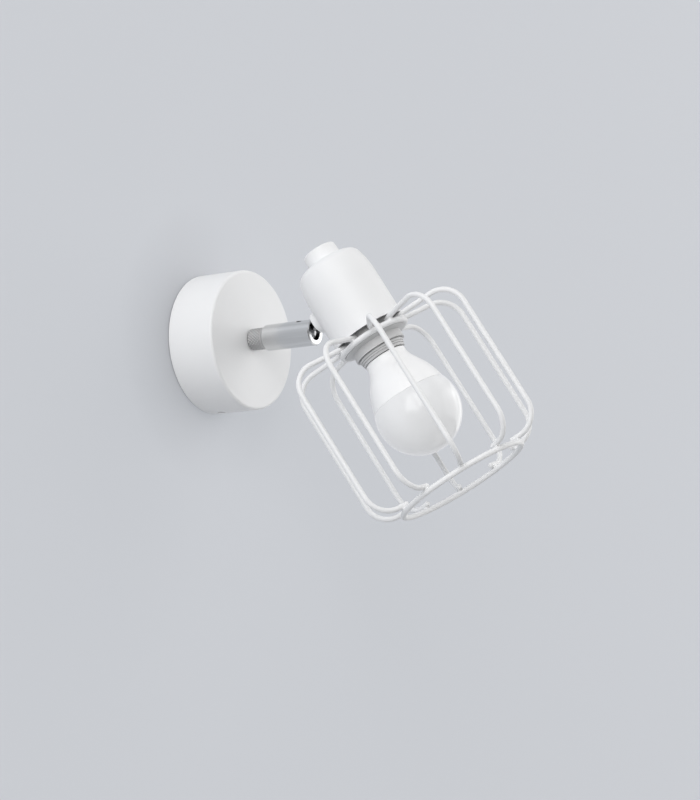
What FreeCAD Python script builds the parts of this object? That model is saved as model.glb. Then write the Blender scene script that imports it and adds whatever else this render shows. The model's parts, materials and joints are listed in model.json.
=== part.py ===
import FreeCAD, Part
import math
import os

# Wall spotlight: a round rose on the wall, a swivel tube with a ball joint, and a lamp head with a wire cage.
# All sizes are in millimetres. Three frames are used while building. The wall frame has z out of the wall,
# y up and x to the right. The stem frame has the ball at its origin and x along the ball stem. The head
# frame has its origin in the middle of the cup's mouth and z towards the bulb's tip.

# Pose in the rest position, in degrees
ARM_SWIVEL = 6.0
STEM_TILT = 28.2
HEAD_SPIN = 7.8

# Fits
RUNNING_FIT = 0.05
FREE_FIT = 0.1
CUT_OVERRUN = 1.0

# Wall rose
ROSE_DIA = 75.0
ROSE_DEPTH = 28.0
ROSE_WALL = 1.2
ROSE_EDGE_ROUND = 1.5
ROSE_BACK_CHAMFER = 0.5
ROSE_INNER_ROUND = 0.5

# Wall bracket behind the rose
BRACKET_WIDTH = 18.0
BRACKET_THICKNESS = 1.5
BRACKET_GAP = 0.3
BRACKET_TAB_HEIGHT = 13.0
BRACKET_CABLE_HOLE_DIA = 12.0
WALL_SLOT_SPACING = 50.0
WALL_SLOT_WIDTH = 4.5
WALL_SLOT_LENGTH = 8.0

# Grub screws that hold the rose on the bracket
COVER_SCREW_DIA = 4.0
COVER_SCREW_OUT = 8.0
COVER_SCREW_INSIDE = 1.0
COVER_SCREW_RECESS = 0.4
COVER_SCREW_SOCKET = 2.0
COVER_SCREW_SOCKET_DEPTH = 1.5

# Terminal block and earth screw on the bracket
BLOCK_WIDTH = 17.0
BLOCK_BREADTH = 9.0
BLOCK_HEIGHT = 10.0
BLOCK_UP = 12.0
BLOCK_WAYS = 3
BLOCK_WIRE_HOLE_DIA = 2.6
BLOCK_WIRE_HOLE_UP = 3.6
BLOCK_SCREW_DIA = 3.0
BLOCK_SCREW_DEPTH = 3.5
BLOCK_SCREW_SINK = 0.8
SCREW_SLOT_WIDTH = 0.6
SCREW_SLOT_DEPTH = 0.6
EARTH_SCREW_DOWN = 12.5
EARTH_SCREW_DIA = 3.5
EARTH_SCREW_LENGTH = 5.0
EARTH_HEAD_DIA = 7.0
EARTH_HEAD_HEIGHT = 2.2

# Base stem of the swivel, which the rose hangs on
BASE_THREAD_DIA = 10.0
BASE_BORE_DIA = 5.2
BASE_TAIL_LENGTH = 9.0
BASE_NUT_FLATS = 14.0
BASE_NUT_THICKNESS = 3.0
LOCK_WASHER_DIA = 17.0
LOCK_WASHER_THICKNESS = 0.8
LOCK_WASHER_TEETH = 12
LOCK_WASHER_TOOTH = 1.2
COLLAR_DIA = 11.8
COLLAR_LENGTH = 8.5
COLLAR_CHAMFER = 0.8
COLLAR_CREST = 0.2
KNURL_COUNT = 36
KNURL_GROOVE_DIA = 0.7
KNURL_EDGE = 1.0
BASE_FLANGE_DIA = 11.6
BASE_FLANGE_THICKNESS = 0.4
SPIGOT_DIA = 8.4
FRICTION_WASHER_DIA = 11.6
FRICTION_WASHER_THICKNESS = 0.4

# Swivel tube
TUBE_DIA = 14.0
TUBE_BORE_DIA = 12.4
TUBE_LENGTH = 31.0
TUBE_END_WALL = 2.1
TUBE_START_CHAMFER = 1.2
TUBE_END_CHAMFER = 0.55
LIP_OPENING_DIA = 7.6
LIP_TOP = 0.0
BALL_SETBACK = 6.3

# Parts in the swivel tube
BUSH_LENGTH = 5.0
RETAINING_RING_DIA = 10.0
RETAINING_RING_THICKNESS = 0.8
RETAINING_GROOVE_DIA = 7.4
RETAINING_RING_AFTER_BUSH = 0.8
SPIGOT_TIP = 1.4
SPRING_PACK_LENGTH = 3.6
SPRING_WASHERS = 4
SPRING_WASHER_WIDTH = 0.8
SPRING_WASHER_THICKNESS = 0.35
SPRING_WASHER_CONE = 0.3
SEAT_BEFORE_BALL = 3.4
SEAT_BORE_DIA = 5.6

# Grub screw that clamps the ball
JOINT_SCREW_DIA = 5.0
JOINT_SCREW_BEFORE_BALL = 2.1
JOINT_SCREW_TURN = 14.0
JOINT_SCREW_TIP_DIA = 1.4
JOINT_SCREW_CONE = 0.4
JOINT_SCREW_SINK = 0.4
JOINT_SCREW_SOCKET = 2.5
JOINT_SCREW_SOCKET_DEPTH = 0.45

# Ball stem
BALL_DIA = 11.8
STEM_DIA = 4.4
STEM_BORE_DIA = 3.0
STEM_END_CLEAR = 0.4
STEM_NUT_FLATS = 8.0
STEM_NUT_THICKNESS = 2.2
STEM_WASHER_DIA = 9.0
STEM_WASHER_THICKNESS = 0.5

# Lamp cup
CUP_DIA = 39.6
CUP_WALL = 1.0
CUP_HEIGHT = 43.7
CUP_SHOULDER_SHARES = ((1.0, 0.585), (0.98, 0.752), (0.92, 0.894), (0.852, 0.957), (0.66, 0.994))
HEAD_OFFSET = 31.9
STEM_UP_SHARE = 0.47826
SADDLE_DIA = 12.2
SADDLE_FROM_BALL = 9.15
SADDLE_EDGE_ROUND = 0.4
INNER_SADDLE_DIA = 10.0
INNER_SADDLE_THICKNESS = 1.1

# End cap, nipple and their nut
END_CAP_DIA = 19.2
END_CAP_TAPER = 0.5
END_CAP_HEIGHT = 7.8
END_CAP_ROUND = 1.0
END_CAP_BORE_DEPTH = 5.6
NIPPLE_DIA = 10.0
NIPPLE_BORE_DIA = 7.0
NIPPLE_INTO_CAP = 5.0
NIPPLE_WASHER_DIA = 16.0
NIPPLE_WASHER_THICKNESS = 0.8
NIPPLE_NUT_FLATS = 14.0
NIPPLE_NUT_THICKNESS = 2.5

# Lampholder
HOLDER_UPPER_DIA = 24.0
HOLDER_LOWER_DIA = 28.0
HOLDER_THREAD_DIA = 25.8
HOLDER_NOSE_DIA = 24.0
HOLDER_BORE_DIA = 15.2
HOLDER_CAVITY_DIA = 21.2
HOLDER_SHOULDER_OUT = 3.9
HOLDER_NOSE_LENGTH = 3.4
HOLDER_STEP_IN = 12.0
HOLDER_FLOOR_IN = 11.0
HOLDER_FLOOR_THICKNESS = 5.0
HOLDER_HUB_GAP = 1.5
NECK_GROOVE_WIDTH = 0.6
NECK_GROOVE_DEPTH = 0.8
NOSE_GROOVE_DEPTH = 0.4
NOSE_GROOVE_WIDTH = 0.5
NOSE_GROOVES = 2
HOLDER_CAP_HEIGHT = 8.5
HOLDER_CAP_WALL = 1.4
HOLDER_CAP_ROUND = 1.2
HOLDER_HUB_DIA = 13.6
HOLDER_HUB_HEIGHT = 3.5
LEAD_HOLE_DIA = 2.6
LEAD_HOLE_OUT = 8.2
SCREW_SHELL_DIA = 15.1
SCREW_SHELL_WALL = 0.45
SCREW_SHELL_LENGTH = 20.0
CONTACT_LENGTH = 11.0
CONTACT_WIDTH = 4.4
CONTACT_THICKNESS = 0.4
CONTACT_TONGUE_REACH = 2.6
CONTACT_TONGUE_ROOT = 3.0
TERMINAL_LENGTH = 7.0
TERMINAL_WIDTH = 6.0
TERMINAL_THICKNESS = 4.0
TERMINAL_OUT = 6.2
TERMINAL_BORE_DIA = 2.0
TERMINAL_SCREW_DIA = 2.5
TERMINAL_SCREW_LENGTH = 2.6
TERMINAL_SCREW_PROUD = 1.2

# Shade ring that clamps the cage
SHADE_BAND_DIA = 28.2
SHADE_BAND_OUT = 11.2
SHADE_SPIGOT_OUT = 4.5
SHADE_LIP_DIA = 35.5
SHADE_LIP_EDGE = 0.4
SHADE_LIP_CONE = 1.0

# Wire cage
CAGE_WIRE_DIA = 2.8
CAGE_RING_WIRE_DIA = 3.0
CAGE_WIRE_COUNT = 10
CAGE_MIDDLE_DIA = 101.5
TOP_RING_ROUND_HOLDER = 3.25
CAGE_BOTTOM_RING_DIA = 70.7
CAGE_BEND_RADIUS = 13.0
CAGE_BOTTOM_RING_OUT = 91.6
CAGE_FIRST_WIRE_TURN = 59.0
CAGE_GAP = 0.05
WIRE_INSIDE_TOP_RING = 3.45
WIRE_INSIDE_BOTTOM_RING = 3.2
WIRE_END_ROUND = 0.8

# Bulb with a small screw cap
BULB_LEAN = 0.6
BULB_LEAN_TOWARDS = 150.0
BULB_LEAN_FROM = 4.0
BULB_GLOBE_DIA = 45.4
BULB_GLOBE_OUT = 49.25
BULB_TIP_IN = 8.2
BULB_TIP_DIA = 5.8
BULB_TIP_HEIGHT = 1.3
BULB_TIP_ROUND = 0.5
BULB_INSULATOR_HEIGHT = 2.0
BULB_INSULATOR_DIA = 12.0
BULB_THREAD_DIA = 13.9
BULB_THREAD_DEPTH = 0.45
BULB_THREAD_PITCH = 2.82
BULB_THREAD_TURNS = 5
BULB_SHELL_WALL = 0.3
BULB_SHELL_SEAT = 1.6
BULB_NECK_DIA = 22.8
BULB_NECK_GAP = 0.3
BULB_NECK_LENGTH = 2.6
BULB_NECK_CHAMFER = 0.5
BULB_SEAM_BEFORE_GLOBE = 9.85
BULB_BODY_SHARES = ((0.14, 0.545), (0.33, 0.648), (0.56, 0.77), (0.79, 0.852))
BULB_HOUSING_WALL = 1.4
BULB_DOME_WALL = 1.0
BULB_SEAM_STEP = 0.12
LED_BOARD_LEDGE = 0.3
LED_BOARD_THICKNESS = 1.5
LED_COUNT = 8
LED_SIDE = 2.8
LED_THICKNESS = 0.7
LED_CIRCLE_DIA = 22.0
DRIVER_WIDTH = 13.0
DRIVER_LENGTH = 18.0
DRIVER_THICKNESS = 1.0

# Places worked out from the sizes above, as distances out of the wall
rose_radius = ROSE_DIA / 2
rose_inner_radius = rose_radius - ROSE_WALL
collar_end = ROSE_DEPTH + COLLAR_LENGTH
flange_end = collar_end + BASE_FLANGE_THICKNESS
tube_start = flange_end + FRICTION_WASHER_THICKNESS + RUNNING_FIT
tube_end = tube_start + TUBE_LENGTH
ball_out = tube_end - BALL_SETBACK
bush_start = tube_start + TUBE_END_WALL
bush_end = bush_start + BUSH_LENGTH
ring_start = bush_end + RETAINING_RING_AFTER_BUSH
spigot_end = ring_start + RETAINING_RING_THICKNESS + SPIGOT_TIP
seat_start = bush_end + SPRING_PACK_LENGTH
seat_end = ball_out - SEAT_BEFORE_BALL

# Places in the head, as distances towards the bulb's tip from the cup's mouth
stem_to_mouth = CUP_HEIGHT * STEM_UP_SHARE
cup_top_inside = -CUP_HEIGHT + CUP_WALL
cup_nut_end = cup_top_inside + NIPPLE_WASHER_THICKNESS + NIPPLE_NUT_THICKNESS
hub_start = cup_nut_end + HOLDER_HUB_GAP
holder_cap_start = hub_start + HOLDER_HUB_HEIGHT
holder_joint = holder_cap_start + HOLDER_CAP_HEIGHT
top_ring_dia = HOLDER_LOWER_DIA + CAGE_RING_WIRE_DIA + 2 * TOP_RING_ROUND_HOLDER
wire_out = CAGE_WIRE_DIA / 2 + CAGE_GAP
ring_seat = (CAGE_WIRE_DIA + CAGE_RING_WIRE_DIA) / 2 + CAGE_GAP
top_ring_out = wire_out + ring_seat
neck_groove_end = SHADE_BAND_OUT + NECK_GROOVE_WIDTH
nose_end = neck_groove_end + HOLDER_NOSE_LENGTH
neck_start = nose_end + BULB_NECK_GAP
bulb_seam = BULB_GLOBE_OUT - BULB_SEAM_BEFORE_GLOBE
globe_radius = BULB_GLOBE_DIA / 2
seam_radius = math.sqrt(globe_radius ** 2 - BULB_SEAM_BEFORE_GLOBE ** 2)
led_board_start = bulb_seam - LED_BOARD_THICKNESS
led_board_radius = seam_radius - BULB_HOUSING_WALL - LED_BOARD_LEDGE


def vector(x=0.0, y=0.0, z=0.0):
    return FreeCAD.Vector(x, y, z)


X_AXIS = vector(1, 0, 0)
Y_AXIS = vector(0, 1, 0)
Z_AXIS = vector(0, 0, 1)


def round_corner(start, corner, end):
    """Arc that rounds a right-angled corner of an outline, from start to end."""
    centre = (start[0] + end[0] - corner[0], start[1] + end[1] - corner[1])
    middle = tuple(centre[i] + (corner[i] - centre[i]) / math.sqrt(2) for i in (0, 1))
    return (middle, end)


def turned(outline):
    """Solid turned about z from (radius, height) points; a pair of points is an arc's middle and end."""
    first = outline[0]
    here = vector(first[0], 0, first[1])
    edges = []
    for step in list(outline[1:]) + [first]:
        if isinstance(step[0], tuple):
            middle = vector(step[0][0], 0, step[0][1])
            there = vector(step[1][0], 0, step[1][1])
            edges.append(Part.Arc(here, middle, there).toShape())
        else:
            there = vector(step[0], 0, step[1])
            if there.isEqual(here, 0):
                continue
            edges.append(Part.LineSegment(here, there).toShape())
        here = there
    return Part.Face(Part.Wire(edges)).revolve(vector(), Z_AXIS, 360)


def rod(diameter, start, end, direction=Z_AXIS, through=None):
    """Round bar along a direction, between two distances from the point it passes through."""
    base = (through or vector()) + direction * start
    return Part.makeCylinder(diameter / 2, end - start, base, direction)


def tube(outer, inner, start, end):
    """Ring or sleeve about z."""
    return rod(outer, start, end).cut(rod(inner, start - CUT_OVERRUN, end + CUT_OVERRUN))


def block(low, high):
    """Box between two corners."""
    low = vector(*low)
    size = vector(*high) - low
    return Part.makeBox(size.x, size.y, size.z, low)


def hexagon(flats, start, end):
    """Six-sided bar about z."""
    corner = flats / math.sqrt(3)
    points = [vector(corner * math.cos(math.radians(60 * i)), corner * math.sin(math.radians(60 * i)), start)
              for i in range(7)]
    return Part.Face(Part.makePolygon(points)).extrude(vector(0, 0, end - start))


def hex_nut(flats, bore, start, end):
    """Hexagon nut about z with its corners taken off at both ends."""
    corner = flats / math.sqrt(3)
    bevel = corner - flats / 2
    barrel = turned([(0, start), (flats / 2, start), (corner, start + bevel / 2), (corner, end - bevel / 2),
                     (flats / 2, end), (0, end)])
    nut = hexagon(flats, start, end).common(barrel)
    return nut.cut(rod(bore, start - CUT_OVERRUN, end + CUT_OVERRUN))


def aimed(shape, direction, at=None):
    """The shape with its z axis turned to a direction and its origin moved."""
    placed = shape.copy()
    turn = FreeCAD.Rotation(Z_AXIS, direction)
    placed.Placement = FreeCAD.Placement(at or vector(), turn).multiply(placed.Placement)
    return placed


def half_angle(index, count):
    """Angle in radians of one of a count of equal steps round a circle."""
    return 2 * math.pi * index / count


# Frames
wall_frame = FreeCAD.Placement(vector(), FreeCAD.Rotation(X_AXIS, 90))
arm_frame = wall_frame.multiply(FreeCAD.Placement(vector(), FreeCAD.Rotation(Z_AXIS, ARM_SWIVEL)))
tilt = math.radians(STEM_TILT)
stem_turn = FreeCAD.Rotation(vector(0, math.sin(tilt), math.cos(tilt)), vector(-1, 0, 0),
                             vector(0, -math.cos(tilt), math.sin(tilt)), "XZY")
stem_frame = arm_frame.multiply(FreeCAD.Placement(vector(0, 0, ball_out), stem_turn))
spin_frame = stem_frame.multiply(FreeCAD.Placement(vector(), FreeCAD.Rotation(X_AXIS, HEAD_SPIN)))
head_frame = spin_frame.multiply(FreeCAD.Placement(vector(HEAD_OFFSET, 0, stem_to_mouth), FreeCAD.Rotation()))

lean_axis = FreeCAD.Rotation(Z_AXIS, BULB_LEAN_TOWARDS).multVec(Y_AXIS)
bulb_frame = head_frame.multiply(FreeCAD.Placement(vector(), FreeCAD.Rotation(lean_axis, BULB_LEAN),
                                                   vector(0, 0, BULB_LEAN_FROM)))


# Wall rose, its bracket and its wiring
bracket_tab_out = math.sqrt(rose_inner_radius ** 2 - (BRACKET_WIDTH / 2) ** 2) - BRACKET_GAP


def make_rose():
    """Pressed round cover, open to the wall, with a hole for the swivel and two for the grub screws."""
    front_in = ROSE_DEPTH - ROSE_WALL
    hole = BASE_THREAD_DIA / 2 + FREE_FIT
    rose = turned([
        (rose_inner_radius, 0),
        (rose_radius - ROSE_BACK_CHAMFER, 0),
        (rose_radius, ROSE_BACK_CHAMFER),
        (rose_radius, ROSE_DEPTH - ROSE_EDGE_ROUND),
        round_corner((rose_radius, ROSE_DEPTH - ROSE_EDGE_ROUND), (rose_radius, ROSE_DEPTH),
                     (rose_radius - ROSE_EDGE_ROUND, ROSE_DEPTH)),
        (hole, ROSE_DEPTH),
        (hole, front_in),
        (rose_inner_radius - ROSE_INNER_ROUND, front_in),
        round_corner((rose_inner_radius - ROSE_INNER_ROUND, front_in), (rose_inner_radius, front_in),
                     (rose_inner_radius, front_in - ROSE_INNER_ROUND)),
    ])
    reach = rose_radius + CUT_OVERRUN
    holes = rod(COVER_SCREW_DIA + 2 * FREE_FIT, -reach, reach, Y_AXIS, vector(0, 0, COVER_SCREW_OUT))
    return rose.cut(holes)


def make_bracket():
    """Steel strip with two slots for the wall screws and a bent tab at each end."""
    half = BRACKET_WIDTH / 2
    out = bracket_tab_out
    strip = block((-half, -out, 0), (half, out, BRACKET_THICKNESS))
    for side in (-1, 1):
        inner, outer = sorted((side * (out - BRACKET_THICKNESS), side * out))
        strip = strip.fuse(block((-half, inner, 0), (half, outer, BRACKET_TAB_HEIGHT)))
    strip = strip.removeSplitter()
    cuts = [rod(BRACKET_CABLE_HOLE_DIA, -CUT_OVERRUN, BRACKET_THICKNESS + CUT_OVERRUN)]
    straight = (WALL_SLOT_LENGTH - WALL_SLOT_WIDTH) / 2
    for side in (-1, 1):
        middle = side * WALL_SLOT_SPACING / 2
        cuts.append(block((-WALL_SLOT_WIDTH / 2, middle - straight, -CUT_OVERRUN),
                          (WALL_SLOT_WIDTH / 2, middle + straight, BRACKET_THICKNESS + CUT_OVERRUN)))
        for end in (-straight, straight):
            cuts.append(rod(WALL_SLOT_WIDTH, -CUT_OVERRUN, BRACKET_THICKNESS + CUT_OVERRUN, Z_AXIS,
                            vector(0, middle + end, 0)))
    reach = out + CUT_OVERRUN
    cuts.append(rod(COVER_SCREW_DIA, -reach, reach, Y_AXIS, vector(0, 0, COVER_SCREW_OUT)))
    cuts.append(rod(EARTH_SCREW_DIA, -CUT_OVERRUN, BRACKET_THICKNESS + CUT_OVERRUN, Z_AXIS,
                    vector(0, -EARTH_SCREW_DOWN, 0)))
    return strip.cut(cuts)


def make_cover_screw():
    """Grub screw along z, from inside the tab to just below the rose's surface."""
    start = bracket_tab_out - BRACKET_THICKNESS - COVER_SCREW_INSIDE
    end = rose_radius - COVER_SCREW_RECESS
    screw = rod(COVER_SCREW_DIA - 2 * RUNNING_FIT, start, end)
    return screw.cut(hexagon(COVER_SCREW_SOCKET, end - COVER_SCREW_SOCKET_DEPTH, end + CUT_OVERRUN))


def make_terminal_block():
    """Insulating block with a through hole and a screw well for each conductor."""
    base = BRACKET_THICKNESS
    top = base + BLOCK_HEIGHT
    low = BLOCK_UP - BLOCK_BREADTH / 2
    high = BLOCK_UP + BLOCK_BREADTH / 2
    body = block((-BLOCK_WIDTH / 2, low, base), (BLOCK_WIDTH / 2, high, top))
    cuts = []
    for place in block_places():
        cuts.append(rod(BLOCK_WIRE_HOLE_DIA, low - CUT_OVERRUN, high + CUT_OVERRUN, Y_AXIS,
                        vector(place, 0, base + BLOCK_WIRE_HOLE_UP)))
        cuts.append(rod(BLOCK_SCREW_DIA, top - BLOCK_SCREW_SINK - BLOCK_SCREW_DEPTH, top + CUT_OVERRUN, Z_AXIS,
                        vector(place, BLOCK_UP, 0)))
    return body.cut(cuts)


def block_places():
    """Distances of the conductors from the middle of the terminal block."""
    pitch = BLOCK_WIDTH / BLOCK_WAYS
    return [pitch * (way - (BLOCK_WAYS - 1) / 2) for way in range(BLOCK_WAYS)]


def make_block_screws():
    """The terminal block's clamping screws, as one group."""
    end = BRACKET_THICKNESS + BLOCK_HEIGHT - BLOCK_SCREW_SINK
    start = end - BLOCK_SCREW_DEPTH
    screws = []
    for place in block_places():
        screw = rod(BLOCK_SCREW_DIA - 2 * RUNNING_FIT, start, end, Z_AXIS, vector(place, BLOCK_UP, 0))
        slot = block((place - SCREW_SLOT_WIDTH / 2, BLOCK_UP - BLOCK_SCREW_DIA, end - SCREW_SLOT_DEPTH),
                     (place + SCREW_SLOT_WIDTH / 2, BLOCK_UP + BLOCK_SCREW_DIA, end + CUT_OVERRUN))
        screws.append(screw.cut(slot))
    return Part.makeCompound(screws)


def make_earth_screw():
    """Pan-head screw in the bracket for the earth conductor."""
    top = BRACKET_THICKNESS + EARTH_HEAD_HEIGHT
    shank = EARTH_SCREW_DIA / 2 - RUNNING_FIT
    screw = turned([
        (0, top - EARTH_SCREW_LENGTH + EARTH_HEAD_HEIGHT),
        (shank, top - EARTH_SCREW_LENGTH + EARTH_HEAD_HEIGHT),
        (shank, BRACKET_THICKNESS),
        (EARTH_HEAD_DIA / 2, BRACKET_THICKNESS),
        (EARTH_HEAD_DIA / 2, top - EARTH_HEAD_HEIGHT / 2),
        (EARTH_HEAD_DIA / 2 - EARTH_HEAD_HEIGHT / 2, top),
        (0, top),
    ])
    slot = block((-EARTH_HEAD_DIA, -SCREW_SLOT_WIDTH / 2, top - SCREW_SLOT_DEPTH),
                 (EARTH_HEAD_DIA, SCREW_SLOT_WIDTH / 2, top + CUT_OVERRUN))
    screw = screw.cut(slot)
    screw.translate(vector(0, -EARTH_SCREW_DOWN, 0))
    return screw


# Swivel base
def make_base_stem():
    """Hollow threaded stem through the rose's face, with a flange and the spigot that the tube turns on."""
    bore = BASE_BORE_DIA / 2
    thread = BASE_THREAD_DIA / 2
    spigot = SPIGOT_DIA / 2
    groove = RETAINING_GROOVE_DIA / 2
    return turned([
        (bore, ROSE_DEPTH - BASE_TAIL_LENGTH),
        (thread, ROSE_DEPTH - BASE_TAIL_LENGTH),
        (thread, collar_end),
        (BASE_FLANGE_DIA / 2, collar_end),
        (BASE_FLANGE_DIA / 2, flange_end),
        (spigot, flange_end),
        (spigot, ring_start),
        (groove, ring_start),
        (groove, ring_start + RETAINING_RING_THICKNESS),
        (spigot, ring_start + RETAINING_RING_THICKNESS),
        (spigot, spigot_end),
        (bore, spigot_end),
    ])


def make_collar():
    """Knurled ring nut on the stem's thread, tight against the rose's face."""
    outer = COLLAR_DIA / 2
    bore = BASE_THREAD_DIA / 2 + RUNNING_FIT
    collar = turned([
        (bore, ROSE_DEPTH),
        (outer - COLLAR_CHAMFER, ROSE_DEPTH),
        (outer, ROSE_DEPTH + COLLAR_CHAMFER),
        (outer, collar_end - COLLAR_CREST),
        (outer - COLLAR_CREST, collar_end),
        (bore, collar_end),
    ])
    low = ROSE_DEPTH + KNURL_EDGE
    high = collar_end - KNURL_EDGE
    grooves = []
    for index in range(KNURL_COUNT):
        angle = half_angle(index, KNURL_COUNT)
        at = vector(COLLAR_DIA / 2 * math.cos(angle), COLLAR_DIA / 2 * math.sin(angle), 0)
        grooves.append(rod(KNURL_GROOVE_DIA, low, high, Z_AXIS, at))
    return collar.cut(grooves)


def make_lock_washer():
    """Toothed washer between the rose and the nut."""
    end = ROSE_DEPTH - ROSE_WALL
    start = end - LOCK_WASHER_THICKNESS
    washer = tube(LOCK_WASHER_DIA, BASE_THREAD_DIA + 2 * FREE_FIT, start, end)
    notches = []
    for index in range(LOCK_WASHER_TEETH):
        angle = half_angle(index, LOCK_WASHER_TEETH)
        at = vector(LOCK_WASHER_DIA / 2 * math.cos(angle), LOCK_WASHER_DIA / 2 * math.sin(angle), 0)
        notches.append(rod(LOCK_WASHER_TOOTH, start - CUT_OVERRUN, end + CUT_OVERRUN, Z_AXIS, at))
    return washer.cut(notches)


def make_base_nut():
    """Hexagon nut that clamps the base stem inside the rose."""
    end = ROSE_DEPTH - ROSE_WALL - LOCK_WASHER_THICKNESS
    return hex_nut(BASE_NUT_FLATS, BASE_THREAD_DIA + 2 * RUNNING_FIT, end - BASE_NUT_THICKNESS, end)


def make_friction_washer():
    """Thin plastic washer on the stem's flange, under the tube."""
    return tube(FRICTION_WASHER_DIA, SPIGOT_DIA + 2 * FREE_FIT, flange_end, flange_end + FRICTION_WASHER_THICKNESS)


def make_retaining_ring():
    """Snap ring in the stem's groove, which keeps the tube on."""
    ring = tube(RETAINING_RING_DIA, RETAINING_GROOVE_DIA + 2 * RUNNING_FIT, ring_start + RUNNING_FIT,
                ring_start + RETAINING_RING_THICKNESS - RUNNING_FIT)
    gap = block((-SCREW_SLOT_WIDTH, 0, ring_start - CUT_OVERRUN),
                (SCREW_SLOT_WIDTH, RETAINING_RING_DIA, ring_start + RETAINING_RING_THICKNESS + CUT_OVERRUN))
    return ring.cut(gap)


# Swivel tube and what it holds
joint_screw_line = FreeCAD.Rotation(Z_AXIS, JOINT_SCREW_TURN).multVec(Y_AXIS)
joint_screw_foot = vector(0, 0, ball_out - JOINT_SCREW_BEFORE_BALL)


def make_swivel_tube():
    """Bright tube with a half lip at its end that keeps the ball in."""
    outer = TUBE_DIA / 2
    bore = SPIGOT_DIA / 2 + FREE_FIT
    body = turned([
        (bore, tube_start),
        (outer - TUBE_START_CHAMFER, tube_start),
        (outer, tube_start + TUBE_START_CHAMFER),
        (outer, tube_end - TUBE_END_CHAMFER),
        (outer - TUBE_END_CHAMFER, tube_end),
        (bore, tube_end),
    ])
    seat = Part.makeSphere(BALL_DIA / 2 + RUNNING_FIT, vector(0, 0, ball_out))
    open_half = rod(TUBE_BORE_DIA, ball_out, tube_end + CUT_OVERRUN).common(
        block((-TUBE_DIA, LIP_TOP, ball_out), (TUBE_DIA, TUBE_DIA, tube_end + CUT_OVERRUN)))
    screw_hole = rod(JOINT_SCREW_DIA, 0, TUBE_DIA, joint_screw_line, joint_screw_foot)
    return body.cut([
        rod(TUBE_BORE_DIA, bush_start, ball_out),
        seat,
        rod(LIP_OPENING_DIA, ball_out, tube_end + CUT_OVERRUN),
        open_half,
        screw_hole,
    ])


def make_bush():
    """Plain bearing between the tube and the stem's spigot."""
    return tube(TUBE_BORE_DIA - 2 * RUNNING_FIT, SPIGOT_DIA + 2 * RUNNING_FIT, bush_start, bush_end)


def make_spring_washers():
    """Stack of coned washers that press the ball seat forward, each turned over from the last."""
    outer = TUBE_BORE_DIA / 2 - FREE_FIT
    inner = outer - SPRING_WASHER_WIDTH
    height = SPRING_WASHER_THICKNESS + SPRING_WASHER_CONE
    pitch = (SPRING_PACK_LENGTH - height) / (SPRING_WASHERS - 1)
    washers = []
    for index in range(SPRING_WASHERS):
        low = bush_end + index * pitch
        rise = SPRING_WASHER_CONE if index % 2 else 0
        fall = SPRING_WASHER_CONE - rise
        washers.append(turned([
            (inner, low + rise),
            (outer, low + fall),
            (outer, low + fall + SPRING_WASHER_THICKNESS),
            (inner, low + rise + SPRING_WASHER_THICKNESS),
        ]))
    return Part.makeCompound(washers)


def make_ball_seat():
    """Plastic seat with a hollow for the ball and a bore for the leads."""
    seat = tube(TUBE_BORE_DIA - 2 * RUNNING_FIT, SEAT_BORE_DIA, seat_start, seat_end)
    hollow = Part.makeSphere(BALL_DIA / 2 + RUNNING_FIT, vector(0, 0, ball_out))
    room = rod(JOINT_SCREW_DIA + 2 * FREE_FIT, 0, TUBE_DIA, joint_screw_line, joint_screw_foot)
    return seat.cut([hollow, room])


def make_joint_screw():
    """Cone-point grub screw along z that presses on the ball."""
    tip = JOINT_SCREW_TIP_DIA / 2
    ball = BALL_DIA / 2 + RUNNING_FIT
    start = math.sqrt(ball ** 2 - (JOINT_SCREW_BEFORE_BALL - tip) ** 2)
    end = TUBE_DIA / 2 - JOINT_SCREW_SINK
    radius = JOINT_SCREW_DIA / 2 - RUNNING_FIT
    screw = turned([
        (0, start),
        (tip, start),
        (radius, start + JOINT_SCREW_CONE),
        (radius, end),
        (0, end),
    ])
    return screw.cut(hexagon(JOINT_SCREW_SOCKET, end - JOINT_SCREW_SOCKET_DEPTH, end + CUT_OVERRUN))


# Ball stem, in the stem frame
cup_radius = CUP_DIA / 2
cup_inner_radius = cup_radius - CUP_WALL
inner_face = HEAD_OFFSET - cup_inner_radius
nut_seat = inner_face + INNER_SADDLE_THICKNESS
stem_washer_start = nut_seat + RUNNING_FIT
stem_nut_start = stem_washer_start + STEM_WASHER_THICKNESS
stem_end = stem_nut_start + STEM_NUT_THICKNESS + STEM_END_CLEAR


def make_ball_stem():
    """Bored ball with a threaded stem, along x."""
    ball = Part.makeSphere(BALL_DIA / 2)
    stem = rod(STEM_DIA, 0, stem_end, X_AXIS)
    bore = rod(STEM_BORE_DIA, -BALL_DIA, stem_end + CUT_OVERRUN, X_AXIS)
    return ball.fuse(stem).removeSplitter().cut(bore)


def make_stem_washer():
    """Flat washer between the inner saddle and the stem's nut."""
    washer = tube(STEM_WASHER_DIA, STEM_DIA + 2 * RUNNING_FIT, stem_washer_start,
                  stem_washer_start + STEM_WASHER_THICKNESS)
    return aimed(washer, X_AXIS)


def make_stem_nut():
    """Nut on the stem, inside the cup."""
    nut = hex_nut(STEM_NUT_FLATS, STEM_DIA + RUNNING_FIT, stem_nut_start, stem_nut_start + STEM_NUT_THICKNESS)
    return aimed(nut, X_AXIS)


# Cup and its fixings, in the head frame
stem_hole = STEM_DIA + 2 * RUNNING_FIT


def head_stem_rod(diameter, start, end):
    """Bar along the ball stem's line, between two distances from the ball."""
    return rod(diameter, start, end, X_AXIS, vector(-HEAD_OFFSET, 0, -stem_to_mouth))


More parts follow.
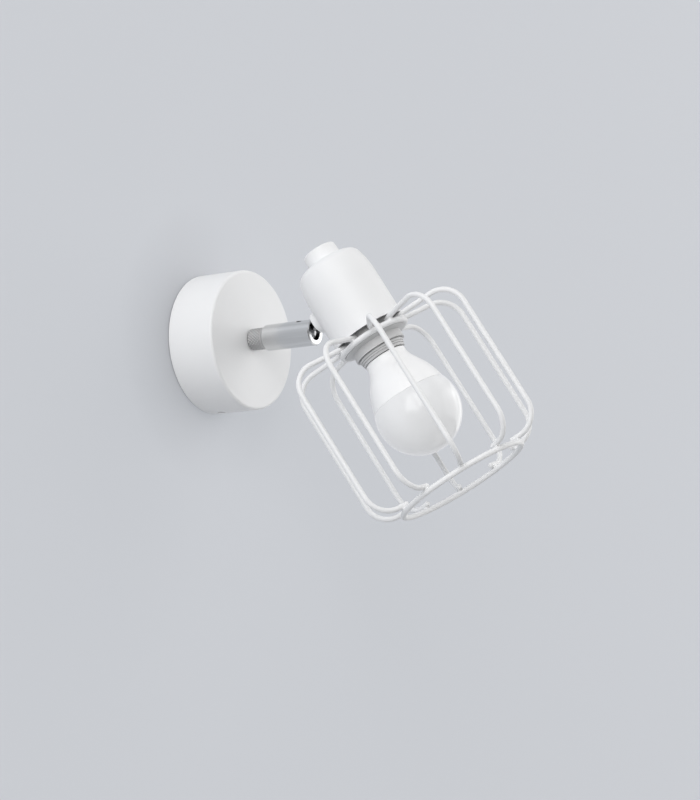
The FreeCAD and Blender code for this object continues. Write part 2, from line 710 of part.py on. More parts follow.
def cup_outline(inset):
    """Half outline of the cup from its mouth to its top, moved in by an inset."""
    radius = cup_radius - inset
    height = CUP_HEIGHT - inset
    points = [(radius * across, -height * up) for across, up in CUP_SHOULDER_SHARES]
    return [
        (0, 0),
        (radius, 0),
        points[0],
        (points[1], points[2]),
        (points[3], points[4]),
        (END_CAP_DIA / 2, -height),
        (0, -height),
    ]


def make_cup():
    """Domed cover of the lampholder, open at the mouth."""
    cup = turned(cup_outline(0)).cut(turned(cup_outline(CUP_WALL)))
    top_hole = rod(NIPPLE_DIA + 2 * FREE_FIT, -CUP_HEIGHT - CUT_OVERRUN, -CUP_HEIGHT + CUP_WALL + CUT_OVERRUN)
    return cup.cut([top_hole, head_stem_rod(stem_hole, 0, HEAD_OFFSET)])


def make_saddle():
    """White washer between the ball joint and the cup, hollowed to fit the cup's side."""
    start = SADDLE_FROM_BALL
    disc = rod(SADDLE_DIA, 0, HEAD_OFFSET - start)
    edge = [one for one in disc.Edges if abs(one.CenterOfMass.z) < RUNNING_FIT and one.Closed]
    disc = aimed(disc.makeFillet(SADDLE_EDGE_ROUND, edge), X_AXIS,
                 vector(start - HEAD_OFFSET, 0, -stem_to_mouth))
    cup_side = rod(CUP_DIA + 2 * RUNNING_FIT, -CUP_HEIGHT - stem_to_mouth, CUP_HEIGHT)
    return disc.cut([cup_side, head_stem_rod(stem_hole, 0, HEAD_OFFSET)])


def make_inner_saddle():
    """Washer inside the cup, round on the cup's side and flat on the nut's side."""
    disc = head_stem_rod(INNER_SADDLE_DIA, 0, nut_seat)
    inside = rod(2 * cup_inner_radius, -CUP_HEIGHT, 0)
    return disc.common(inside).cut(head_stem_rod(stem_hole, 0, HEAD_OFFSET))


def make_end_cap():
    """Round cap nut on top of the cup."""
    radius = END_CAP_DIA / 2
    bore = NIPPLE_DIA / 2 + RUNNING_FIT
    small = radius - END_CAP_TAPER
    base = -CUP_HEIGHT
    top = base - END_CAP_HEIGHT
    return turned([
        (bore, base),
        (radius, base),
        (small, top + END_CAP_ROUND),
        round_corner((small, top + END_CAP_ROUND), (small, top), (small - END_CAP_ROUND, top)),
        (0, top),
        (0, base - END_CAP_BORE_DEPTH),
        (bore, base - END_CAP_BORE_DEPTH),
    ])


nipple_start = -CUP_HEIGHT - NIPPLE_INTO_CAP


def make_nipple():
    """Threaded tube that joins the end cap, the cup and the lampholder."""
    return tube(NIPPLE_DIA, NIPPLE_BORE_DIA, nipple_start, holder_cap_start + HOLDER_CAP_WALL)


def make_nipple_washer():
    """Washer under the nipple's nut."""
    return tube(NIPPLE_WASHER_DIA, NIPPLE_DIA + 2 * FREE_FIT, cup_top_inside,
                cup_top_inside + NIPPLE_WASHER_THICKNESS)


def make_nipple_nut():
    """Nut that clamps the cup on the nipple."""
    return hex_nut(NIPPLE_NUT_FLATS, NIPPLE_DIA + 2 * RUNNING_FIT, cup_nut_end - NIPPLE_NUT_THICKNESS, cup_nut_end)


# Lampholder, in the head frame
def make_holder_cap():
    """Plastic back cover of the lampholder, with a threaded hub on the nipple."""
    radius = HOLDER_UPPER_DIA / 2
    inner = radius - HOLDER_CAP_WALL
    hub = HOLDER_HUB_DIA / 2
    bore = NIPPLE_DIA / 2 + RUNNING_FIT
    top = holder_cap_start
    cap = turned([
        (bore, hub_start),
        (hub, hub_start),
        (hub, top),
        (radius - HOLDER_CAP_ROUND, top),
        round_corner((radius - HOLDER_CAP_ROUND, top), (radius, top), (radius, top + HOLDER_CAP_ROUND)),
        (radius, holder_joint),
        (inner, holder_joint),
        (inner, top + HOLDER_CAP_WALL),
        (bore, top + HOLDER_CAP_WALL),
    ])
    holes = [rod(LEAD_HOLE_DIA, top - CUT_OVERRUN, top + HOLDER_CAP_WALL + CUT_OVERRUN, Z_AXIS,
                 vector(side * (hub + LEAD_HOLE_DIA / 2 + FREE_FIT), 0, 0)) for side in (-1, 1)]
    return cap.cut(holes)


def make_holder_body():
    """Plastic body of the lampholder, with a shoulder, a coned nose and fine lines round it."""
    upper = HOLDER_UPPER_DIA / 2
    lower = HOLDER_LOWER_DIA / 2
    thread = HOLDER_THREAD_DIA / 2
    groove = thread - NECK_GROOVE_DEPTH
    nose = HOLDER_NOSE_DIA / 2
    bore = HOLDER_BORE_DIA / 2
    cavity = HOLDER_CAVITY_DIA / 2
    floor = -HOLDER_FLOOR_IN
    under = floor - HOLDER_FLOOR_THICKNESS
    body = turned([
        (0, floor),
        (bore, floor),
        (bore, nose_end),
        (nose, nose_end),
        (thread, neck_groove_end),
        (groove, neck_groove_end),
        (groove, SHADE_BAND_OUT),
        (thread, SHADE_BAND_OUT),
        (thread, HOLDER_SHOULDER_OUT),
        (lower, HOLDER_SHOULDER_OUT),
        (lower, -HOLDER_STEP_IN),
        (upper, -HOLDER_STEP_IN),
        (upper, holder_joint),
        (cavity, holder_joint),
        (cavity, under),
        (0, under),
    ])
    grooves = []
    for index in range(NOSE_GROOVES):
        share = (index + 1) / (NOSE_GROOVES + 1)
        middle = neck_groove_end + HOLDER_NOSE_LENGTH * share
        bottom = thread + (nose - thread) * share - NOSE_GROOVE_DEPTH
        grooves.append(tube(HOLDER_LOWER_DIA, 2 * bottom, middle - NOSE_GROOVE_WIDTH / 2,
                            middle + NOSE_GROOVE_WIDTH / 2))
    return body.cut(grooves)


def make_screw_shell():
    """Metal shell that the bulb's cap screws into."""
    start = -HOLDER_FLOOR_IN + CONTACT_THICKNESS
    return tube(SCREW_SHELL_DIA, SCREW_SHELL_DIA - 2 * SCREW_SHELL_WALL, start, start + SCREW_SHELL_LENGTH)


def make_centre_contact():
    """Spring tongue on the holder's floor that meets the bulb's tip."""
    half = CONTACT_WIDTH / 2
    floor = -HOLDER_FLOOR_IN
    reach = CONTACT_TONGUE_REACH
    base = block((-CONTACT_LENGTH / 2, -half, floor), (CONTACT_LENGTH / 2, half, floor + CONTACT_THICKNESS))
    top = -BULB_TIP_IN - FREE_FIT
    outline = [
        vector(-CONTACT_TONGUE_ROOT, -half, floor + CONTACT_THICKNESS / 2),
        vector(reach, -half, top - CONTACT_THICKNESS),
        vector(reach, -half, top),
        vector(-reach / 2, -half, top - CONTACT_THICKNESS),
        vector(-CONTACT_TONGUE_ROOT - CONTACT_THICKNESS, -half, floor + CONTACT_THICKNESS),
        vector(-CONTACT_TONGUE_ROOT, -half, floor + CONTACT_THICKNESS / 2),
    ]
    tongue = Part.Face(Part.makePolygon(outline)).extrude(vector(0, CONTACT_WIDTH, 0))
    return base.fuse(tongue).removeSplitter()


terminal_top = -HOLDER_FLOOR_IN - HOLDER_FLOOR_THICKNESS


def make_holder_terminal(side):
    """Brass terminal on the back of the holder's floor."""
    middle = side * TERMINAL_OUT
    low = terminal_top - TERMINAL_LENGTH
    body = block((middle - TERMINAL_THICKNESS / 2, -TERMINAL_WIDTH / 2, low),
                 (middle + TERMINAL_THICKNESS / 2, TERMINAL_WIDTH / 2, terminal_top))
    lead = rod(TERMINAL_BORE_DIA, low - CUT_OVERRUN, terminal_top - TERMINAL_BORE_DIA, Z_AXIS, vector(middle, 0, 0))
    screw = rod(TERMINAL_SCREW_DIA, 0, TERMINAL_OUT, X_AXIS * side, vector(middle, 0, low + TERMINAL_LENGTH / 2))
    return body.cut([lead, screw])


def make_holder_terminal_screws():
    """The clamping screws of both terminals, as one group."""
    screws = []
    middle = terminal_top - TERMINAL_LENGTH / 2
    end = TERMINAL_OUT + TERMINAL_THICKNESS / 2 + TERMINAL_SCREW_PROUD
    for side in (-1, 1):
        screws.append(rod(TERMINAL_SCREW_DIA - 2 * RUNNING_FIT, end - TERMINAL_SCREW_LENGTH, end, X_AXIS * side,
                          vector(0, 0, middle)))
    return Part.makeCompound(screws)


def make_shade_ring():
    """Band screwed on the lampholder, whose lip presses the cage's top ring up against the cup."""
    bore = HOLDER_THREAD_DIA / 2 + RUNNING_FIT
    band = SHADE_BAND_DIA / 2
    lip = SHADE_LIP_DIA / 2
    wire = CAGE_RING_WIRE_DIA / 2 + CAGE_GAP
    spigot = top_ring_dia / 2 - wire
    lip_start = top_ring_out + math.sqrt(wire ** 2 - (top_ring_dia / 2 - lip) ** 2)
    waist = lip_start + SHADE_LIP_EDGE
    return turned([
        (bore, SHADE_SPIGOT_OUT),
        (spigot, SHADE_SPIGOT_OUT),
        (spigot, lip_start - SHADE_LIP_EDGE),
        (lip, lip_start),
        (lip, waist),
        (band, waist + SHADE_LIP_CONE),
        (band, SHADE_BAND_OUT),
        (bore, SHADE_BAND_OUT),
    ])


# Wire cage, in the head frame
def make_cage_ring(diameter, out):
    """Ring of round wire across the head's axis."""
    return Part.makeTorus(diameter / 2, CAGE_RING_WIRE_DIA / 2, vector(0, 0, out))


def make_cage_wire(index):
    """One bent wire from above the top ring to above the bottom ring."""
    middle = CAGE_MIDDLE_DIA / 2
    bend = CAGE_BEND_RADIUS
    diagonal = bend / math.sqrt(2)
    top = wire_out
    bottom = CAGE_BOTTOM_RING_OUT - ring_seat
    top_end = top_ring_dia / 2 - WIRE_INSIDE_TOP_RING
    bottom_end = CAGE_BOTTOM_RING_DIA / 2 - WIRE_INSIDE_BOTTOM_RING
    start = vector(top_end, 0, top)
    finish = vector(bottom_end, 0, bottom)
    path = Part.Wire([
        Part.LineSegment(start, vector(middle - bend, 0, top)).toShape(),
        Part.Arc(vector(middle - bend, 0, top), vector(middle - bend + diagonal, 0, top + bend - diagonal),
                 vector(middle, 0, top + bend)).toShape(),
        Part.LineSegment(vector(middle, 0, top + bend), vector(middle, 0, bottom - bend)).toShape(),
        Part.Arc(vector(middle, 0, bottom - bend),
                 vector(middle - bend + diagonal, 0, bottom - bend + diagonal),
                 vector(middle - bend, 0, bottom)).toShape(),
        Part.LineSegment(vector(middle - bend, 0, bottom), finish).toShape(),
    ])
    section = Part.Wire(Part.makeCircle(CAGE_WIRE_DIA / 2, start, X_AXIS))
    wire = path.makePipeShell([section], True, False)
    ends = [edge for edge in wire.Edges
            if edge.Closed and min((edge.CenterOfMass - start).Length, (edge.CenterOfMass - finish).Length)
            < CAGE_GAP]
    wire = wire.makeFillet(WIRE_END_ROUND, ends)
    turn = CAGE_FIRST_WIRE_TURN - 360 * index / CAGE_WIRE_COUNT
    wire.rotate(vector(), Z_AXIS, turn)
    return wire


# Bulb, in the head frame
shell_start = -BULB_TIP_IN + BULB_TIP_HEIGHT + BULB_INSULATOR_HEIGHT
shell_end = neck_start + BULB_SHELL_SEAT


def make_bulb_tip():
    """Centre contact at the end of the bulb's cap."""
    radius = BULB_TIP_DIA / 2
    low = -BULB_TIP_IN
    return turned([
        (0, low),
        (radius - BULB_TIP_ROUND, low),
        round_corner((radius - BULB_TIP_ROUND, low), (radius, low), (radius, low + BULB_TIP_ROUND)),
        (radius, low + BULB_TIP_HEIGHT),
        (0, low + BULB_TIP_HEIGHT),
    ])


def make_bulb_insulator():
    """Dark coned insulator between the tip and the cap's shell."""
    start = -BULB_TIP_IN + BULB_TIP_HEIGHT
    return turned([
        (0, start),
        (BULB_TIP_DIA / 2, start),
        (BULB_INSULATOR_DIA / 2, shell_start),
        (0, shell_start),
    ])


def make_bulb_shell():
    """Screw cap of the bulb, thin metal with a rolled thread."""
    crest = BULB_THREAD_DIA / 2
    root = crest - BULB_THREAD_DEPTH
    outer = [(root, shell_start)]
    for turn in range(BULB_THREAD_TURNS):
        low = shell_start + turn * BULB_THREAD_PITCH
        outer.append((crest, low + BULB_THREAD_PITCH / 2))
        outer.append((root, low + BULB_THREAD_PITCH))
    outer.append((root, shell_end))
    inner = [(radius - BULB_SHELL_WALL, height) for radius, height in reversed(outer)]
    return turned(outer + inner)


def housing_outer():
    """Points of the bulb body's side, from the neck to the seam."""
    start = neck_start + BULB_NECK_LENGTH
    length = bulb_seam - start
    side = [(globe_radius * across, start + length * along) for along, across in BULB_BODY_SHARES]
    return [(BULB_NECK_DIA / 2, start)] + side + [(seam_radius, bulb_seam)]


def make_bulb_housing():
    """White plastic body of the bulb, with the neck that meets the lampholder and a ledge for the board."""
    outer = housing_outer()
    inner = [(radius - BULB_HOUSING_WALL, height) for radius, height in outer]
    neck = BULB_NECK_DIA / 2
    neck_floor = shell_end + BULB_HOUSING_WALL
    bore = BULB_THREAD_DIA / 2 - BULB_THREAD_DEPTH + RUNNING_FIT

    def curve(points):
        spline = Part.BSplineCurve()
        spline.interpolate([vector(radius, 0, height) for radius, height in points])
        return spline.toShape()

    def line(*points):
        return [Part.LineSegment(vector(a[0], 0, a[1]), vector(b[0], 0, b[1])).toShape()
                for a, b in zip(points, points[1:])]

    edges = line((bore, neck_start), (neck - BULB_NECK_CHAMFER, neck_start),
                 (neck, neck_start + BULB_NECK_CHAMFER), outer[0])
    edges.append(curve(outer))
    edges += line(outer[-1], inner[-1])
    edges.append(curve(list(reversed(inner))))
    edges += line(inner[0], (inner[0][0], neck_floor), (bore, neck_floor), (bore, neck_start))
    housing = Part.Face(Part.Wire(edges)).revolve(vector(), Z_AXIS, 360)
    return housing.cut(rod(2 * (led_board_radius + RUNNING_FIT), led_board_start, bulb_seam + CUT_OVERRUN))


def make_bulb_dome():
    """Frosted dome of the bulb, a thin part of a sphere."""
    start = bulb_seam + BULB_SEAM_STEP

    def ball(radius):
        return Part.makeSphere(radius, vector(0, 0, BULB_GLOBE_OUT))

    below = block((-BULB_GLOBE_DIA, -BULB_GLOBE_DIA, -BULB_GLOBE_DIA), (BULB_GLOBE_DIA, BULB_GLOBE_DIA, start))
    return ball(globe_radius).cut([ball(globe_radius - BULB_DOME_WALL), below])


def make_led_board():
    """Round board across the bulb, under the dome."""
    return rod(2 * led_board_radius, led_board_start, bulb_seam)


def make_leds():
    """Ring of light sources on the board, as one group."""
    leds = []
    for index in range(LED_COUNT):
        led = block((LED_CIRCLE_DIA / 2 - LED_SIDE / 2, -LED_SIDE / 2, bulb_seam),
                    (LED_CIRCLE_DIA / 2 + LED_SIDE / 2, LED_SIDE / 2, bulb_seam + LED_THICKNESS))
        led.rotate(vector(), Z_AXIS, 360 * index / LED_COUNT)
        leds.append(led)
    return Part.makeCompound(leds)


def make_driver_board():
    """Upright driver board under the LED board."""
    return block((-DRIVER_WIDTH / 2, -DRIVER_THICKNESS / 2, led_board_start - DRIVER_LENGTH),
                 (DRIVER_WIDTH / 2, DRIVER_THICKNESS / 2, led_board_start))


def build():
    """Every piece by node name, each in its place in the whole."""
    cover_screw = make_cover_screw()
    wall = {
        "wall_rose": make_rose(),
        "wall_bracket": make_bracket(),
        "cover_screw_top": aimed(cover_screw, Y_AXIS, vector(0, 0, COVER_SCREW_OUT)),
        "cover_screw_bottom": aimed(cover_screw, Y_AXIS * -1, vector(0, 0, COVER_SCREW_OUT)),
        "terminal_block": make_terminal_block(),
        "terminal_block_screws": make_block_screws(),
        "earth_screw": make_earth_screw(),
        "base_stem": make_base_stem(),
        "knurled_collar": make_collar(),
        "base_lock_washer": make_lock_washer(),
        "base_nut": make_base_nut(),
        "friction_washer": make_friction_washer(),
        "retaining_ring": make_retaining_ring(),
    }
    arm = {
        "swivel_tube": make_swivel_tube(),
        "swivel_bush": make_bush(),
        "spring_washers": make_spring_washers(),
        "ball_seat": make_ball_seat(),
        "joint_grub_screw": aimed(make_joint_screw(), joint_screw_line, joint_screw_foot),
    }
    stem = {
        "ball_stem": make_ball_stem(),
        "stem_washer": make_stem_washer(),
        "stem_nut": make_stem_nut(),
    }
    head = {
        "saddle_washer": make_saddle(),
        "inner_saddle": make_inner_saddle(),
        "lamp_cup": make_cup(),
        "end_cap": make_end_cap(),
        "cup_nipple": make_nipple(),
        "nipple_washer": make_nipple_washer(),
        "nipple_nut": make_nipple_nut(),
        "holder_cap": make_holder_cap(),
        "holder_body": make_holder_body(),
        "holder_screw_shell": make_screw_shell(),
        "holder_centre_contact": make_centre_contact(),
        "holder_terminal_left": make_holder_terminal(-1),
        "holder_terminal_right": make_holder_terminal(1),
        "holder_terminal_screws": make_holder_terminal_screws(),
        "shade_ring": make_shade_ring(),
        "cage_top_ring": make_cage_ring(top_ring_dia, top_ring_out),
        "cage_bottom_ring": make_cage_ring(CAGE_BOTTOM_RING_DIA, CAGE_BOTTOM_RING_OUT),
    }
    bulb = {
        "bulb_tip_contact": make_bulb_tip(),
        "bulb_insulator": make_bulb_insulator(),
        "bulb_screw_shell": make_bulb_shell(),
        "bulb_housing": make_bulb_housing(),
        "bulb_dome": make_bulb_dome(),
        "bulb_led_board": make_led_board(),
        "bulb_leds": make_leds(),
        "bulb_driver_board": make_driver_board(),
    }
    for index in range(CAGE_WIRE_COUNT):
        head["cage_wire_%02d" % (index + 1)] = make_cage_wire(index)
    pieces = {}
    for frame, group in ((wall_frame, wall), (arm_frame, arm), (stem_frame, stem), (head_frame, head),
                         (bulb_frame, bulb)):
        for name, shape in group.items():
            placed = shape.copy()
            placed.Placement = frame.multiply(placed.Placement)
            pieces[name] = placed
    return pieces


def show_joints():
    """Print where the joints lie, for the record."""
    swivel_axis = arm_frame.Rotation.multVec(Z_AXIS)
    ball = stem_frame.multVec(vector())
    tilt_axis = stem_frame.Rotation.multVec(Y_AXIS)
    spin_axis = stem_frame.Rotation.multVec(X_AXIS)
    mouth = head_frame.multVec(vector())
    bulb_axis = head_frame.Rotation.multVec(Z_AXIS)
    for name, value in (("swivel axis", swivel_axis), ("ball", ball), ("tilt axis", tilt_axis),
                        ("spin axis", spin_axis), ("mouth", mouth), ("bulb axis", bulb_axis)):
        print(name, round(value.x, 6), round(value.y, 6), round(value.z, 6))


def main():
    os.makedirs("parts", exist_ok=True)
    for name, shape in build().items():
        if not shape.isValid():
            print("not valid:", name)
        shape.exportStep(os.path.join("parts", name + ".step"))
    show_joints()


main()
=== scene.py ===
"""Looks of a white wall spotlight: a round rose, a swivel tube with a ball joint, and a cage round a bulb."""

from __future__ import annotations

import json
import logging
import math
from dataclasses import dataclass
from enum import Enum
from typing import Callable, Mapping, Protocol, Sequence, Union

import bmesh
import bpy
from mathutils import Matrix, Vector

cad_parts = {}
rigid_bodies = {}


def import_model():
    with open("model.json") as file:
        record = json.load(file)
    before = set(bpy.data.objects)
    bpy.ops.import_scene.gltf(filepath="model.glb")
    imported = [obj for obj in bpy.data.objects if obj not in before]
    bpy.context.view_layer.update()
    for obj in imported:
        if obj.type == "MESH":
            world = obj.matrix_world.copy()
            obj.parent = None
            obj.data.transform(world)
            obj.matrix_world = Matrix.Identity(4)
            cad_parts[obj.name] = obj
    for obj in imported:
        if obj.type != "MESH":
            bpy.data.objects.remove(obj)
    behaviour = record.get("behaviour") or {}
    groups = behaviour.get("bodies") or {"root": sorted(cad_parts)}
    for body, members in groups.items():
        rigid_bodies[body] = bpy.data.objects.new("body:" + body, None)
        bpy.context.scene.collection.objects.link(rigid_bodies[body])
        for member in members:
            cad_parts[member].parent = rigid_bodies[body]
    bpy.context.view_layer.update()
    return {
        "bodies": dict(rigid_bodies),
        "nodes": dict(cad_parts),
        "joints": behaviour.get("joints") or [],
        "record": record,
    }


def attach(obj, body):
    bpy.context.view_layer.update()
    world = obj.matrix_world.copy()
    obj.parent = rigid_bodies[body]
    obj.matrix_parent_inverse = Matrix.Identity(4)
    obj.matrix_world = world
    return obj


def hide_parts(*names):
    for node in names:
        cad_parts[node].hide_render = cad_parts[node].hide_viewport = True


LOG = logging.getLogger("wall_spotlight")
MM = 0.001

Colour = tuple[float, float, float]
Triple = tuple[float, float, float]
Point = tuple[float, float]
Number = Union[float, "Value"]


class Body(Enum):
    """The bodies that the joints move."""

    WALL_BASE = "wall_base"
    ARM = "arm"
    BALL_STEM = "ball_stem"
    HEAD = "head"


# Shader building


class Value:
    """One shader socket that can be used in sums."""

    def __init__(self, graph: "Graph", socket: bpy.types.NodeSocket) -> None:
        """Keeps the socket and the graph that new nodes are added to."""
        self.graph = graph
        self.socket = socket

    def _math(self, operation: str, first: Number, second: Number) -> "Value":
        """Adds a Math node.

        Args:
            operation: The Math node's operation.
            first: The first number or value.
            second: The second number or value.

        Returns:
            The node's result.
        """
        return self.graph.node("ShaderNodeMath", {"operation": operation}, {0: first, 1: second})

    def __add__(self, other: Number) -> "Value":
        """This plus another."""
        return self._math("ADD", self, other)

    __radd__ = __add__

    def __sub__(self, other: Number) -> "Value":
        """This minus another."""
        return self._math("SUBTRACT", self, other)

    def __rsub__(self, other: Number) -> "Value":
        """Another minus this."""
        return self._math("SUBTRACT", other, self)

    def __mul__(self, other: Number) -> "Value":
        """This times another."""
        return self._math("MULTIPLY", self, other)

    __rmul__ = __mul__

    def __truediv__(self, other: Number) -> "Value":
        """This divided by another."""
        return self._math("DIVIDE", self, other)

    def __rtruediv__(self, other: Number) -> "Value":
        """Another divided by this."""
        return self._math("DIVIDE", other, self)

    def __pow__(self, other: Number) -> "Value":
        """This raised to a power."""
        return self._math("POWER", self, other)

    def clamped(self) -> "Value":
        """This kept from 0 to 1."""
        return self.graph.node("ShaderNodeClamp", {}, {"Value": self})


class Graph:
    """The node tree of one material."""

    def __init__(self, name: str) -> None:
        """Makes an empty material of that name."""
        self.material = bpy.data.materials.new(name)
        self.material.use_nodes = True
        self.tree = self.material.node_tree
        self.tree.nodes.clear()

    def raw(self, kind: str, settings: Mapping[str, object], inputs: Mapping[object, object]) -> bpy.types.Node:
        """Adds a node.

        Args:
            kind: The node's type.
            settings: The node's own settings, set first.
            inputs: Values or links by the socket's name, identifier or number.

        Returns:
            The node.
        """
        node = self.tree.nodes.new(kind)
        for key, setting in settings.items():
            setattr(node, key, setting)
        for key, value in inputs.items():
            socket = node.inputs[key] if isinstance(key, int) else self._socket(node, str(key))
            if isinstance(value, Value):
                self.tree.links.new(value.socket, socket)
            elif isinstance(value, tuple) and len(value) == 3 and socket.type == "RGBA":
                socket.default_value = (*value, 1.0)
            else:
                socket.default_value = value
        return node

    def node(self, kind: str, settings: Mapping[str, object], inputs: Mapping[object, object],
             output: str = "") -> Value:
        """Adds a node and gives one of its outputs.

        Args:
            kind: The node's type.
            settings: The node's own settings.
            inputs: Values or links by socket.
            output: The output's name or identifier; empty for the first output.

        Returns:
            The output as a value.
        """
        node = self.raw(kind, settings, inputs)
        if not output:
            return Value(self, node.outputs[0])
        found = next(o for o in node.outputs if output in (o.name, o.identifier))
        return Value(self, found)

    @staticmethod
    def _socket(node: bpy.types.Node, key: str) -> bpy.types.NodeSocket:
        """Finds an input by identifier or name."""
        for socket in node.inputs:
            if socket.identifier == key:
                return socket
        return node.inputs[key]

    def place(self) -> Value:
        """The surface point in its object's own coordinates."""
        return self.node("ShaderNodeTexCoord", {}, {}, "Object")

    def turned(self, turn: Triple) -> Value:
        """The surface point turned by Euler angles in radians."""
        return self.node("ShaderNodeMapping", {"vector_type": "POINT"},
                         {"Vector": self.place(), "Rotation": turn})

    def mapped(self, scale: Triple, turn: Triple) -> Value:
        """The surface point turned and then scaled.

        Args:
            scale: Scale along each turned axis, per metre.
            turn: Euler angles in radians that bring the pattern's frame onto the axes.

        Returns:
            The coordinates as a value.
        """
        return self.node("ShaderNodeMapping", {"vector_type": "POINT"},
                         {"Vector": self.turned(turn), "Scale": scale})

    def parts(self, vector: Value, axes: str) -> list[Value]:
        """The named parts of a vector, such as XZ."""
        return [self.node("ShaderNodeSeparateXYZ", {}, {"Vector": vector}, axis) for axis in axes]

    def noise(self, scale: float, detail: float = 2.0, vector: Value | None = None,
              roughness: float = 0.5) -> Value:
        """Noise from 0 to 1.

        Args:
            scale: Lumps per metre, or per unit of the given coordinates.
            detail: Number of finer layers.
            vector: Coordinates; the object's own when left out.
            roughness: Share of the finer layers.

        Returns:
            The noise as a value.
        """
        inputs = {"Vector": vector or self.place(), "Scale": scale, "Detail": detail, "Roughness": roughness}
        return self.node("ShaderNodeTexNoise", {}, inputs, "Fac")

    def mix(self, factor: Number, first: object, second: object) -> Value:
        """A colour between two colours."""
        return self.node("ShaderNodeMix", {"data_type": "RGBA"},
                         {"Factor_Float": factor, "A_Color": first, "B_Color": second}, "Result_Color")

    def spread(self, value: Value, low: float, high: float) -> Value:
        """A value from 0 to 1 spread over low to high."""
        return value * (high - low) + low

    def bump(self, height: Value, distance: float) -> Value:
        """Surface normal from a height.

        Args:
            height: The height, from 0 to 1.
            distance: Size of a height of 1, in metres.

        Returns:
            The normal as a value.
        """
        return self.node("ShaderNodeBump", {}, {"Height": height, "Distance": distance, "Strength": 1.0}, "Normal")

    def surface(self, inputs: Mapping[object, object]) -> Value:
        """Adds the main shader."""
        return self.node("ShaderNodeBsdfPrincipled", {}, inputs, "BSDF")

    def finish(self, shader: Value) -> bpy.types.Material:
        """Joins a shader to the output and gives the material."""
        self.raw("ShaderNodeOutputMaterial", {}, {"Surface": shader})
        return self.material


def shade(colour: Colour, share: float) -> Colour:
    """A colour made lighter or darker by a share."""
    return tuple(min(1.0, part * share) for part in colour)


# Finishes


class Finish(Protocol):
    """Anything that can build a named material."""

    @property
    def name(self) -> str:
        """The material's name."""

    def material(self) -> bpy.types.Material:
        """Builds the material."""


@dataclass(frozen=True)
class PowderCoat:
    """Fine matt powder coat with a slight grain."""

    name: str = "white_powder_coat"
    colour: Colour = (0.86, 0.862, 0.865)
    roughness: float = 0.5
    roughness_spread: float = 0.07
    grain: float = 2600.0
    grain_layers: float = 3.0
    grain_fineness: float = 0.6
    grain_height: float = 0.006 * MM
    cloud: float = 140.0
    cloud_share: float = 0.985

    def material(self) -> bpy.types.Material:
        """Builds the material."""
        graph = Graph(self.name)
        grain = graph.noise(self.grain, self.grain_layers, roughness=self.grain_fineness)
        cloud = graph.noise(self.cloud)
        return graph.finish(graph.surface({
            "Base Color": graph.mix(cloud, shade(self.colour, self.cloud_share), self.colour),
            "Roughness": graph.spread(grain, self.roughness - self.roughness_spread,
                                      self.roughness + self.roughness_spread),
            "Specular IOR Level": 0.5,
            "Normal": graph.bump(grain, self.grain_height),
        }))


@dataclass(frozen=True)
class TurnedMetal:
    """Plated or bare metal with fine lines left by turning round an axis.

    A tube can have painted shade in its bore, and faint streaks along its length that are partly grain and partly
    painted reflection bands.
    """

    name: str
    colour: Colour
    roughness: float
    axis_turn: Triple = (0.0, 0.0, 0.0)
    lines: float = 9000.0
    line_breaks: float = 60.0
    line_height: float = 0.004 * MM
    roughness_spread: float = 0.06
    cloud: float = 240.0
    cloud_share: float = 0.95
    inside_radius: float = 0.0
    inside_end: float = 0.0
    inside_edge: float = 0.1 * MM
    # colour of the painted shade in the bore
    inside_colour: Colour = (0.1, 0.1, 0.1)
    # streaks partly of grain, partly painted reflection bands
    streaked: bool = False
    streaks_across: float = 230.0
    streaks_along: float = 5.0
    streak_contrast: float = 4.0
    streak_dark: float = 0.86
    streak_light: float = 1.12

    def material(self) -> bpy.types.Material:
        """Builds the material."""
        graph = Graph(self.name)
        breaks = self.line_breaks
        lines = graph.noise(1.0, vector=graph.mapped((breaks, breaks, self.lines), self.axis_turn))
        cloud = graph.noise(self.cloud)
        spread = self.roughness_spread
        roughness = graph.spread(lines, -spread, spread) + graph.spread(
            cloud, self.roughness - spread / 2, self.roughness + spread / 2)
        colour = graph.mix(cloud, shade(self.colour, self.cloud_share), self.colour)
        # lighter and darker copies of the metal in streaks: partly grain, partly painted reflection bands
        if self.streaked:
            colour = graph.mix(self._streaks(graph), shade(self.colour, self.streak_dark),
                               shade(self.colour, self.streak_light))
        # painted shade: the bore behind the end face is coloured dark
        if self.inside_radius:
            colour = graph.mix(self._inside(graph), colour, self.inside_colour)
        return graph.finish(graph.surface({
            "Base Color": colour,
            "Metallic": 1.0,
            "Roughness": roughness,
            "Normal": graph.bump(lines, self.line_height),
        }))

    def _streaks(self, graph: Graph) -> Value:
        """Streaks along the axis, partly grain and partly painted reflection bands, from 0 in a dark one to 1 in a
        light one.
        """
        scale = (self.streaks_across, self.streaks_across, self.streaks_along)
        streaks = graph.noise(1.0, vector=graph.mapped(scale, self.axis_turn))
        return ((streaks - 0.5) * self.streak_contrast + 0.5).clamped()

    def _inside(self, graph: Graph) -> Value:
        """Painted shade mask: 1 in the bore, near the turning axis and behind the end face, and 0 elsewhere."""
        across, up, along = graph.parts(graph.turned(self.axis_turn), "XYZ")
        radius = (across * across + up * up) ** 0.5
        sharp = 1.0 / self.inside_edge
        return ((self.inside_radius - radius) * sharp).clamped() * ((self.inside_end - along) * sharp).clamped()


